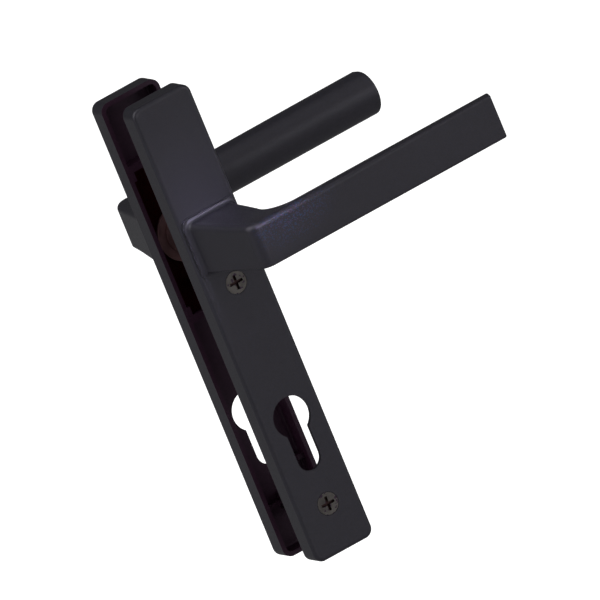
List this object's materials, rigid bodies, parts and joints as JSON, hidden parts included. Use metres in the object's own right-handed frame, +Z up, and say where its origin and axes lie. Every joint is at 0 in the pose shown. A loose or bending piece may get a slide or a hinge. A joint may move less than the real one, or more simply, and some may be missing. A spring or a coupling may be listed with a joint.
{
  "type": "lever handle set on backplates",
  "caption": "Pair of black lever handles on long narrow backplates with keyholes for a euro-profile cylinder, joined through the door by a square spindle and through screws.",
  "frame": {"origin": "on the spindle axis, midway between the two backplates", "axes": "+X along the levers towards their free ends, +Z up, the spindle along Y; the outer set is on the -Y side"},
  "size_m": [0.1394, 0.1282, 0.2144],
  "materials": {
    "black_coating": "satin black powder coat, fine grain",
    "screw_steel": "dull blackened steel",
    "spindle_steel": "bright zinc",
    "disc_steel": "dark brown phosphated steel",
    "spring_steel": "oiled spring steel",
    "black_plastic": "matte black moulding"
  },
  "bodies": {
    "plates": {"outer_backplate": "black_coating", "outer_bearing_bush": "black_plastic", "outer_cassette_housing": "black_plastic", "outer_return_spring": "spring_steel", "outer_cassette_cover": "disc_steel", "inner_backplate": "black_coating", "inner_bearing_bush": "black_plastic", "inner_cassette_housing": "black_plastic", "inner_return_spring": "spring_steel", "inner_cassette_cover": "disc_steel", "through_screws": "screw_steel", "cassette_screws": "screw_steel"},
    "levers": {"outer_lever": "black_coating", "outer_follower_disc": "disc_steel", "outer_retaining_ring": "spring_steel", "inner_lever": "black_coating", "inner_follower_disc": "disc_steel", "inner_retaining_ring": "spring_steel", "spindle": "spindle_steel", "grub_screws": "screw_steel"}
  },
  "joints": [
    {"name": "lever_turn", "type": "hinge", "parent": "plates", "child": "levers", "pos_m": [0, 0, 0], "axis": [0, 1, 0], "range_deg": [0, 45], "stiffness_Nm_per_rad": 0.8, "springref_deg": -28.65, "deforming": ["outer_return_spring", "inner_return_spring"]}
  ]
}
